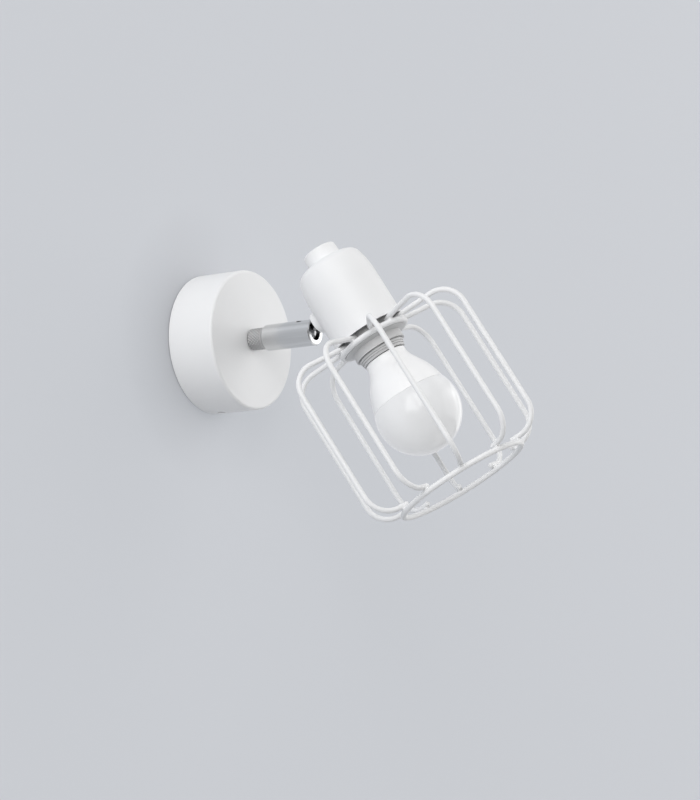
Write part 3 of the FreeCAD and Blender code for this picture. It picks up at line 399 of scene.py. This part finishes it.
@dataclass(frozen=True)
class BrightPlate:
    """Polished plating with a trace of haze and waviness."""

    name: str = "bright_chrome"
    colour: Colour = (0.34, 0.342, 0.346)
    roughness: float = 0.07
    smoother: float = 0.03
    rougher: float = 0.05
    haze: float = 900.0
    haze_layers: float = 3.0
    haze_share: float = 0.97
    wave: float = 300.0
    wave_layers: float = 1.0
    wave_height: float = 0.01 * MM

    def material(self) -> bpy.types.Material:
        """Builds the material."""
        graph = Graph(self.name)
        haze = graph.noise(self.haze, self.haze_layers)
        wave = graph.noise(self.wave, self.wave_layers)
        return graph.finish(graph.surface({
            "Base Color": graph.mix(haze, shade(self.colour, self.haze_share), self.colour),
            "Metallic": 1.0,
            "Roughness": graph.spread(haze, self.roughness - self.smoother, self.roughness + self.rougher),
            "Normal": graph.bump(wave, self.wave_height),
        }))


@dataclass(frozen=True)
class DullMetal:
    """Dull grey metal with a sandy surface and painted shade in its grooves, turned round the wall's axis."""

    crest_radius: float
    groove_depth: float
    name: str = "grey_knurled"
    colour: Colour = (0.64, 0.64, 0.645)
    # darkness of the painted shade in the grooves
    groove_share: float = 0.5
    roughness: float = 0.42
    roughness_spread: float = 0.12
    sand: float = 3000.0
    sand_layers: float = 4.0
    sand_fineness: float = 0.7
    sand_height: float = 0.05 * MM
    sand_dark: float = 0.7
    sand_light: float = 1.25

    def material(self) -> bpy.types.Material:
        """Builds the material."""
        graph = Graph(self.name)
        sand = graph.noise(self.sand, self.sand_layers, roughness=self.sand_fineness)
        metal = graph.mix(sand, shade(self.colour, self.sand_dark), shade(self.colour, self.sand_light))
        across, up = graph.parts(graph.place(), "XZ")
        radius = (across * across + up * up) ** 0.5
        # painted shade: the colour darkens down into the knurl's grooves
        groove = ((self.crest_radius - radius) / self.groove_depth).clamped()
        return graph.finish(graph.surface({
            "Base Color": graph.mix(groove, metal, shade(self.colour, self.groove_share)),
            "Metallic": 1.0,
            "Roughness": graph.spread(sand, self.roughness - self.roughness_spread,
                                      self.roughness + self.roughness_spread),
            "Normal": graph.bump(sand, self.sand_height),
        }))


@dataclass(frozen=True)
class Moulded:
    """Moulded plastic with a fine spark-eroded texture."""

    name: str
    colour: Colour
    roughness: float = 0.42
    roughness_spread: float = 0.05
    grain: float = 3000.0
    grain_layers: float = 3.0
    grain_height: float = 0.008 * MM
    cloud: float = 90.0
    cloud_share: float = 0.975
    coat: float = 0.0
    coat_roughness: float = 0.08

    def material(self) -> bpy.types.Material:
        """Builds the material."""
        graph = Graph(self.name)
        grain = graph.noise(self.grain, self.grain_layers)
        cloud = graph.noise(self.cloud)
        return graph.finish(graph.surface({
            "Base Color": graph.mix(cloud, shade(self.colour, self.cloud_share), self.colour),
            "Roughness": graph.spread(grain, self.roughness - self.roughness_spread,
                                      self.roughness + self.roughness_spread),
            "Normal": graph.bump(grain, self.grain_height),
            "Coat Weight": self.coat,
            "Coat Roughness": self.coat_roughness,
        }))


@dataclass(frozen=True)
class FrostedDome:
    """Smooth opal plastic dome with a faint glow: painted light that stands in for light passing through it."""

    name: str = "frosted_dome"
    colour: Colour = (0.57, 0.575, 0.58)
    # painted light: a faint glow standing in for light passing through the dome
    glow: Colour = (0.25, 0.25, 0.252)
    roughness: float = 0.18
    roughness_spread: float = 0.03
    grain: float = 5200.0
    grain_height: float = 0.0015 * MM
    cloud: float = 70.0
    cloud_share: float = 0.985

    def material(self) -> bpy.types.Material:
        """Builds the material."""
        graph = Graph(self.name)
        grain = graph.noise(self.grain)
        cloud = graph.noise(self.cloud)
        return graph.finish(graph.surface({
            "Base Color": graph.mix(cloud, shade(self.colour, self.cloud_share), self.colour),
            "Roughness": graph.spread(grain, self.roughness - self.roughness_spread,
                                      self.roughness + self.roughness_spread),
            # painted light through the dome, though the bulb is off
            "Emission Color": self.glow,
            "Emission Strength": 1.0,
            "Normal": graph.bump(grain, self.grain_height),
        }))


@dataclass(frozen=True)
class Backdrop:
    """Even paint of the wall or the floor, seen only from its front.

    It can glow a little. Close to what stands on it the glow fades, most on the left: a painted soft shadow.
    """

    name: str
    colour: Colour
    glow: Colour = (0.0, 0.0, 0.0)
    roughness: float = 0.9
    cloud: float = 3.0
    cloud_share: float = 0.995
    shade_rays: int = 8
    shade_reach: float = 42.0 * MM
    shade_share: float = 0.24
    shade_width: float = 45.0 * MM
    shade_start: float = 0.3
    far_share: float = 0.35

    def material(self) -> bpy.types.Material:
        """Builds the material."""
        graph = Graph(self.name)
        cloud = graph.noise(self.cloud)
        paint = graph.surface({
            "Base Color": graph.mix(cloud, shade(self.colour, self.cloud_share), self.colour),
            "Roughness": self.roughness,
            "Specular IOR Level": 0.0,
            # painted shadow: the glow fades beside what stands on the backdrop, most on the left
            "Emission Color": graph.mix(self._free(graph), shade(self.glow, self.shade_share), self.glow),
            "Emission Strength": 1.0,
        })
        clear = graph.node("ShaderNodeBsdfTransparent", {}, {})
        back = graph.node("ShaderNodeNewGeometry", {}, {}, "Backfacing")
        material = graph.finish(graph.node("ShaderNodeMixShader", {}, {0: back, 1: paint, 2: clear}))
        material.cycles.emission_sampling = "NONE"  # a glow this wide is found without being aimed at
        return material

    def _free(self, graph: Graph) -> Value:
        """Painted shadow mask: 1 where nothing stands near, and less beside what stands on the backdrop, least on
        the left.
        """
        free = graph.node("ShaderNodeAmbientOcclusion", {"samples": self.shade_rays},
                          {"Distance": self.shade_reach}, "AO")
        across, = graph.parts(graph.place(), "X")
        side = (self.shade_start - across / self.shade_width).clamped()
        return 1.0 - (1.0 - free) * graph.spread(side, self.far_share, 1.0)


ZINC = TurnedMetal("zinc_steel", (0.6, 0.6, 0.58), 0.35)
BRASS = TurnedMetal("brass", (0.78, 0.57, 0.28), 0.3)
CAP_METAL = TurnedMetal("bulb_cap_metal", (0.72, 0.72, 0.73), 0.25)


# The lamp's own frames


@dataclass(frozen=True)
class Pose:
    """How the lamp's bodies stand at rest, in degrees and metres."""

    arm_swivel: float = 6.0
    stem_tilt: float = 28.2
    head_spin: float = 7.8
    ball_out: float = 62.05 * MM
    head_offset: float = 31.9 * MM
    stem_to_mouth: float = 20.9 * MM

    @property
    def wall(self) -> Matrix:
        """Frame on the wall, with z out of the wall."""
        return Matrix.Rotation(math.radians(90), 4, "X")

    @property
    def arm(self) -> Matrix:
        """Frame of the swivel tube."""
        return self.wall @ Matrix.Rotation(math.radians(self.arm_swivel), 4, "Z")

    @property
    def stem(self) -> Matrix:
        """Frame of the ball stem, with x along the stem."""
        angle = math.radians(self.stem_tilt)
        turn = Matrix(((0, -1, 0, 0),
                       (math.sin(angle), 0, -math.cos(angle), 0),
                       (math.cos(angle), 0, math.sin(angle), 0),
                       (0, 0, 0, 1)))
        return self.arm @ Matrix.Translation((0, 0, self.ball_out)) @ turn

    @property
    def head(self) -> Matrix:
        """Frame of the lamp head, at the cup's mouth with z towards the bulb's tip."""
        spun = self.stem @ Matrix.Rotation(math.radians(self.head_spin), 4, "X")
        return spun @ Matrix.Translation((self.head_offset, 0, self.stem_to_mouth))


def axis_turn(frame: Matrix) -> Triple:
    """Angles that bring a frame's axes onto the main axes."""
    return tuple(frame.to_3x3().inverted().to_euler())


# Mesh building


def join_rings(mesh_data: bmesh.types.BMesh, rings: Sequence[Sequence[bmesh.types.BMVert]], closed: bool) -> None:
    """Joins rings of points into a skin.

    Args:
        mesh_data: The mesh to add to.
        rings: Rings with the same number of points.
        closed: Whether the last ring joins the first.
    """
    following = [*rings[1:], rings[0]] if closed else rings[1:]
    for ring, after in zip(rings, following):
        for step in range(len(ring)):
            ahead = (step + 1) % len(ring)
            mesh_data.faces.new((ring[step], ring[ahead], after[ahead], after[step]))


def piece_from(name: str, mesh_data: bmesh.types.BMesh, frame: Matrix, body: Body,
               crease: float) -> bpy.types.Object:
    """Makes an object of finished mesh data and lets it ride on a body.

    Args:
        name: The piece's name.
        mesh_data: The mesh, in the given frame; it is freed.
        frame: The frame that the mesh is in.
        body: The body that the piece rides on.
        crease: Angle in degrees above which an edge is shown sharp.

    Returns:
        The piece.
    """
    mesh_data.transform(frame)
    bmesh.ops.recalc_face_normals(mesh_data, faces=mesh_data.faces)
    mesh = bpy.data.meshes.new(name)
    mesh_data.to_mesh(mesh)
    mesh_data.free()
    mesh.polygons.foreach_set("use_smooth", [True] * len(mesh.polygons))
    mesh.set_sharp_from_angle(angle=math.radians(crease))
    piece = bpy.data.objects.new(name, mesh)
    bpy.context.scene.collection.objects.link(piece)
    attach(piece, body.value)
    LOG.info("%s: %d faces", name, len(mesh.polygons))
    return piece


def revolve(mesh_data: bmesh.types.BMesh, outline: Sequence[Point], around: int,
            relief: Callable[[float, float], float]) -> None:
    """Turns a closed outline round z.

    Args:
        mesh_data: The mesh to add to.
        outline: Closed run of (radius, height) points.
        around: Number of steps round the axis.
        relief: Depth taken off the radius at an angle in turns and a height.
    """
    rings = []
    for radius, height in outline:
        ring = []
        for step in range(around):
            turn = step / around
            out = radius - relief(turn, height)
            angle = math.tau * turn
            ring.append(mesh_data.verts.new((out * math.cos(angle), out * math.sin(angle), height)))
        rings.append(ring)
    join_rings(mesh_data, rings, closed=True)


# Sub-assemblies


class Dresser:
    """Gives finishes to the fixed nodes and keeps one material of each finish."""

    def __init__(self, nodes: Mapping[str, bpy.types.Object]) -> None:
        """Keeps the fixed nodes."""
        self.nodes = nodes
        self.made: dict[str, bpy.types.Material] = {}

    def material(self, finish: Finish) -> bpy.types.Material:
        """The material of a finish, made once."""
        if finish.name not in self.made:
            self.made[finish.name] = finish.material()
        return self.made[finish.name]

    def dress(self, finish: Finish, *names: str) -> None:
        """Gives nodes a finish.

        Args:
            finish: The finish to use.
            names: The nodes' names.
        """
        for name in names:
            mesh = self.nodes[name].data
            mesh.materials.clear()
            mesh.materials.append(self.material(finish))
            LOG.info("%s: %s", name, finish.name)


@dataclass
class WallBase:
    """Rose, bracket, wiring and the stem that the arm turns on."""

    pose: Pose

    def build(self, dresser: Dresser) -> None:
        """Dresses the wall base."""
        turn = axis_turn(self.pose.wall)
        dresser.dress(PowderCoat(), "wall_rose", "cover_screw_top", "cover_screw_bottom")
        dresser.dress(ZINC, "wall_bracket", "base_lock_washer", "base_nut", "retaining_ring")
        dresser.dress(Moulded("block_plastic", (0.78, 0.78, 0.74)), "terminal_block")
        dresser.dress(BRASS, "terminal_block_screws", "earth_screw")
        dresser.dress(TurnedMetal("satin_nickel_stem", (0.6, 0.6, 0.59), 0.28, turn), "base_stem")
        dresser.dress(Moulded("grey_nylon", (0.42, 0.42, 0.43)), "friction_washer")


@dataclass
class KnurledCollar:
    """Ring nut against the rose, with a fine diamond knurl."""

    pose: Pose
    radius: float = 5.9 * MM
    bore: float = 5.06 * MM
    start: float = 28.0 * MM
    length: float = 8.5 * MM
    chamfer: float = 0.8 * MM
    end_chamfer: float = 0.2 * MM
    ridges: int = 22
    ridge_turns: float = 0.2
    ridge_depth: float = 0.38 * MM
    groove_share: float = 0.75
    steps_per_ridge: int = 8
    rows: int = 48
    crease: float = 80.0

    def _groove(self, phase: float) -> float:
        """Depth share of a V groove, from 0 on a crest to 1 in the groove."""
        return max(0.0, 1.0 - abs(2.0 * (phase % 1.0) - 1.0) / self.groove_share)

    def _knurl(self, turn: float, height: float) -> float:
        """Depth of the knurl at an angle in turns and a height, 0 near both ends."""
        along = (height - self.start) / self.length
        if not 0.5 * self.chamfer / self.length < along < 1.0 - self.end_chamfer / self.length:
            return 0.0
        slope = self.ridge_turns * along
        first = self._groove(self.ridges * (turn + slope))
        second = self._groove(self.ridges * (turn - slope))
        return self.ridge_depth * max(first, second)

    def build(self, dresser: Dresser) -> None:
        """Makes the collar in the place of its fixed node."""
        end = self.start + self.length
        low = self.start + self.chamfer
        high = end - self.end_chamfer
        side = [(self.radius, low + (high - low) * row / self.rows) for row in range(self.rows + 1)]
        outline = [(self.bore, self.start), (self.radius - self.chamfer, self.start), *side,
                   (self.radius - self.end_chamfer, end), (self.bore, end)]
        knurled = bmesh.new()
        revolve(knurled, outline, self.ridges * self.steps_per_ridge, self._knurl)
        collar = piece_from("knurled_ring_nut", knurled, self.pose.wall, Body.WALL_BASE,
                            self.crease)
        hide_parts("knurled_collar")
        # the knurl's grooves get painted shade
        collar.data.materials.append(dresser.material(DullMetal(self.radius, self.ridge_depth)))


@dataclass
class Arm:
    """Swivel tube and what it holds."""

    pose: Pose
    tube_bore: float = 12.4 * MM
    tube_end: float = 68.35 * MM
    face_depth: float = 0.15 * MM

    def build(self, dresser: Dresser) -> None:
        """Dresses the arm."""
        # the tube's bore gets painted shade, and its streaks are partly painted reflection bands
        satin = TurnedMetal("satin_nickel_tube", (0.75, 0.755, 0.76), 0.22, axis_turn(self.pose.arm),
                            lines=14000.0, inside_radius=self.tube_bore / 2,
                            inside_end=self.tube_end - self.face_depth, streaked=True)
        dresser.dress(satin, "swivel_tube")
        dresser.dress(Moulded("black_plastic", (0.025, 0.025, 0.025)), "swivel_bush", "ball_seat")
        dresser.dress(ZINC, "spring_washers")
        dresser.dress(BrightPlate("black_oxide_steel", (0.1, 0.1, 0.1), 0.25), "joint_grub_screw")


@dataclass
class BallStem:
    """Ball, stem and its nut."""

    def build(self, dresser: Dresser) -> None:
        """Dresses the ball stem."""
        dresser.dress(BrightPlate(), "ball_stem")
        dresser.dress(ZINC, "stem_washer", "stem_nut")


@dataclass
class LampCup:
    """Cup, end cap and their fixings."""

    def build(self, dresser: Dresser) -> None:
        """Dresses the cup."""
        dresser.dress(PowderCoat(), "lamp_cup", "end_cap", "saddle_washer")
        dresser.dress(ZINC, "inner_saddle", "cup_nipple", "nipple_washer", "nipple_nut")


@dataclass
class Lampholder:
    """Lampholder, its contacts and the shade ring."""

    def build(self, dresser: Dresser) -> None:
        """Dresses the lampholder."""
        dresser.dress(Moulded("holder_plastic", (0.6, 0.6, 0.6)), "holder_cap", "holder_body", "shade_ring")
        dresser.dress(CAP_METAL, "holder_screw_shell")
        dresser.dress(BRASS, "holder_centre_contact", "holder_terminal_left", "holder_terminal_right")
        dresser.dress(ZINC, "holder_terminal_screws")


@dataclass
class Cage:
    """Two rings, the bent wires between them, and the coated welds where they cross."""

    pose: Pose
    wires: int = 10
    first_wire: float = 59.0
    top_ring_radius: float = 18.75 * MM
    top_weld_out: float = 2.88 * MM
    bottom_ring_radius: float = 35.35 * MM
    bottom_weld_out: float = 90.08 * MM
    weld_width: float = 1.5 * MM
    weld_height: float = 0.85 * MM
    weld_corners: float = 4.0
    corner_share: float = 0.14
    weld_ripples: float = 3.0
    ripple_share: float = 0.03
    weld_roundness: float = 0.6
    weld_around: int = 20
    weld_rows: int = 8
    crease: float = 60.0
    coat: PowderCoat = PowderCoat("white_wire_coat", roughness_spread=0.03, grain=1800.0,
                                  grain_height=0.0015 * MM)

    def build(self, dresser: Dresser) -> None:
        """Dresses the cage and makes its welds."""
        names = [f"cage_wire_{number:02d}" for number in range(1, self.wires + 1)]
        dresser.dress(self.coat, "cage_top_ring", "cage_bottom_ring", *names)
        welds = bmesh.new()
        for number in range(self.wires):
            angle = math.radians(self.first_wire - 360.0 * number / self.wires)
            turn = Matrix.Rotation(angle, 4, "Z")
            for radius, out in ((self.top_ring_radius, self.top_weld_out),
                                (self.bottom_ring_radius, self.bottom_weld_out)):
                self._weld(welds, turn @ Matrix.Translation((radius, 0, out)), number)
        piece = piece_from("cage_welds", welds, self.pose.head, Body.HEAD, self.crease)
        piece.data.materials.append(dresser.material(self.coat))

    def _weld(self, welds: bmesh.types.BMesh, place: Matrix, number: int) -> None:
        """Adds one small four-cornered cushion of weld metal.

        Args:
            welds: The mesh to add to.
            place: The weld's frame, with z across the two wires.
            number: The weld's number, which turns its ripples.
        """
        rings = []
        for row in range(1, self.weld_rows):
            rise = math.pi * (row / self.weld_rows - 0.5)
            ring = []
            for step in range(self.weld_around):
                angle = math.tau * step / self.weld_around
                corner = self.corner_share * math.cos(self.weld_corners * angle + math.pi)
                ripple = self.ripple_share * math.sin(self.weld_ripples * angle + number)
                out = self.weld_width * math.cos(rise) ** self.weld_roundness * (1.0 + corner + ripple)
                point = Vector((out * math.cos(angle), out * math.sin(angle), self.weld_height * math.sin(rise)))
                ring.append(welds.verts.new(place @ point))
            rings.append(ring)
        join_rings(welds, rings, closed=False)
        welds.faces.new(list(reversed(rings[0])))
        welds.faces.new(rings[-1])


@dataclass
class Bulb:
    """Small globe bulb with a screw cap."""

    def build(self, dresser: Dresser) -> None:
        """Dresses the bulb."""
        dresser.dress(Moulded("bulb_plastic", (0.965, 0.965, 0.965), 0.34, coat=0.2), "bulb_housing")
        dresser.dress(FrostedDome(), "bulb_dome")
        dresser.dress(CAP_METAL, "bulb_screw_shell", "bulb_tip_contact")
        dresser.dress(Moulded("black_glass_plastic", (0.02, 0.02, 0.02), 0.12), "bulb_insulator")
        dresser.dress(Moulded("led_board", (0.85, 0.85, 0.85)), "bulb_led_board")
        dresser.dress(Moulded("led_phosphor", (0.8, 0.65, 0.2)), "bulb_leds")
        dresser.dress(Moulded("driver_board", (0.05, 0.2, 0.08)), "bulb_driver_board")


# Stage, light and camera


@dataclass(frozen=True)
class SoftLight:
    """One square soft light that faces the lamp from a direction."""

    name: str
    direction: Triple
    power: float
    size: float = 2.2
    distance: float = 3.0

    def build(self, aim: Vector) -> None:
        """Makes the light.

        Args:
            aim: The point that the light faces.
        """
        data = bpy.data.lights.new(self.name, "AREA")
        data.size = self.size
        data.energy = self.power
        light = bpy.data.objects.new(self.name, data)
        towards = Vector(self.direction).normalized()
        turn = (-towards).to_track_quat("-Z", "Y").to_matrix().to_4x4()
        light.matrix_world = Matrix.Translation(aim + towards * self.distance) @ turn
        bpy.context.scene.collection.objects.link(light)


@dataclass
class Studio:
    """The wall, a pale floor far below, and soft lights."""

    wall_gap: float = 0.4 * MM
    wall_size: float = 6.0
    floor_down: float = 3.0
    wall_colour: Colour = (0.299, 0.295, 0.305)
    wall_glow: Colour = (0.357, 0.378, 0.404)
    floor_colour: Colour = (0.75, 0.75, 0.75)
    world_colour: Colour = (1.0, 1.0, 1.0)
    world_strength: float = 0.16
    world_seen: float = 0.6
    aim: Triple = (0.0, -0.09, -0.02)
    lights: tuple[SoftLight, ...] = (
        SoftLight("left", (-0.9, -0.28, 0.3), 74.5, 2.6),
        SoftLight("upper_left", (-0.5, -0.4, 0.95), 12.0),
        SoftLight("front", (0.0, -1.0, 0.2), 5.6, 2.6),
        SoftLight("front_right", (0.7, -0.8, 0.3), 26.0, 2.6),
        SoftLight("right", (1.0, -0.2, 0.2), 25.8),
        SoftLight("upper_right", (0.8, -0.5, 0.9), 11.2),
        SoftLight("low_right", (0.8, -0.5, -0.7), 10.5),
    )

    def build(self) -> None:
        """Makes the stage, the lights and the world."""
        # the wall's glow carries a painted soft shadow beside the lamp
        self._plane("wall", (0, self.wall_gap, 0), Matrix.Rotation(math.radians(90), 4, "X"),
                    Backdrop("wall_paint", self.wall_colour, self.wall_glow))
        self._plane("floor", (0, -self.wall_size / 2, -self.floor_down), Matrix.Identity(4),
                    Backdrop("floor_paint", self.floor_colour))
        for light in self.lights:
            light.build(Vector(self.aim))
        self._world()

    def _plane(self, name: str, place: Triple, turn: Matrix, paint: Backdrop) -> None:
        """Adds one flat stage piece.

        Args:
            name: The piece's name.
            place: Its middle.
            turn: Its turn.
            paint: Its finish.
        """
        mesh = bpy.data.meshes.new(name)
        half = self.wall_size / 2
        mesh.from_pydata([(-half, -half, 0), (half, -half, 0), (half, half, 0), (-half, half, 0)], [],
                         [(0, 1, 2, 3)])
        plane = bpy.data.objects.new(name, mesh)
        plane.matrix_world = Matrix.Translation(place) @ turn
        bpy.context.scene.collection.objects.link(plane)
        mesh.materials.append(paint.material())

    def _world(self) -> None:
        """Adds even light from all round, which looks pale where nothing stands before it."""
        world = bpy.data.worlds.new("studio")
        world.use_nodes = True
        world.cycles.sampling_method = "NONE"
        tree = world.node_tree
        background = tree.nodes["Background"]
        background.inputs["Color"].default_value = (*self.world_colour, 1.0)
        seen = tree.nodes.new("ShaderNodeLightPath").outputs["Is Camera Ray"]
        strength = tree.nodes.new("ShaderNodeMapRange")
        strength.inputs["To Min"].default_value = self.world_strength
        strength.inputs["To Max"].default_value = self.world_seen
        tree.links.new(seen, strength.inputs["Value"])
        tree.links.new(strength.outputs["Result"], background.inputs["Strength"])
        bpy.context.scene.world = world


@dataclass(frozen=True)
class PhotoCamera:
    """The photograph's camera: its place in metres and its angles in degrees."""

    place: Triple = (-1.03097, -0.75455, -0.23575)
    azimuth: float = -57.189
    elevation: float = -9.157
    roll: float = -0.059
    focal_px: float = 2400.0
    image_width_px: float = 700.0
    sensor_mm: float = 36.0
    nearest: float = 0.05
    farthest: float = 50.0

    def build(self) -> None:
        """Makes the camera and uses it."""
        turn, rise, roll = (math.radians(a) for a in (self.azimuth, self.elevation, self.roll))
        back = Vector((math.sin(turn) * math.cos(rise), -math.cos(turn) * math.cos(rise), math.sin(rise)))
        right = Vector((math.cos(turn), math.sin(turn), 0))
        up = back.cross(right)
        rolled_right = math.cos(roll) * right + math.sin(roll) * up
        rolled_up = math.cos(roll) * up - math.sin(roll) * right
        data = bpy.data.cameras.new("photo_camera")
        data.sensor_fit = "HORIZONTAL"
        data.sensor_width = self.sensor_mm
        data.lens = self.focal_px / self.image_width_px * self.sensor_mm
        data.clip_start = self.nearest
        data.clip_end = self.farthest
        camera = bpy.data.objects.new("photo_camera", data)
        matrix = Matrix((rolled_right, rolled_up, back)).transposed().to_4x4()
        camera.matrix_world = Matrix.Translation(self.place) @ matrix
        bpy.context.scene.collection.objects.link(camera)
        bpy.context.scene.camera = camera


def main() -> None:
    """Builds the looks round the fixed model."""
    logging.basicConfig(level=logging.INFO, format="%(name)s: %(message)s")
    for leftover in list(bpy.data.objects):
        bpy.data.objects.remove(leftover)
    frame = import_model()
    pose = Pose()
    dresser = Dresser(frame["nodes"])
    for part in (WallBase(pose), KnurledCollar(pose), Arm(pose), BallStem(), LampCup(), Lampholder(),
                 Cage(pose), Bulb()):
        part.build(dresser)
    Studio().build()
    PhotoCamera().build()
    bpy.context.scene.view_settings.view_transform = "Standard"


if __name__ == "__main__":
    main()
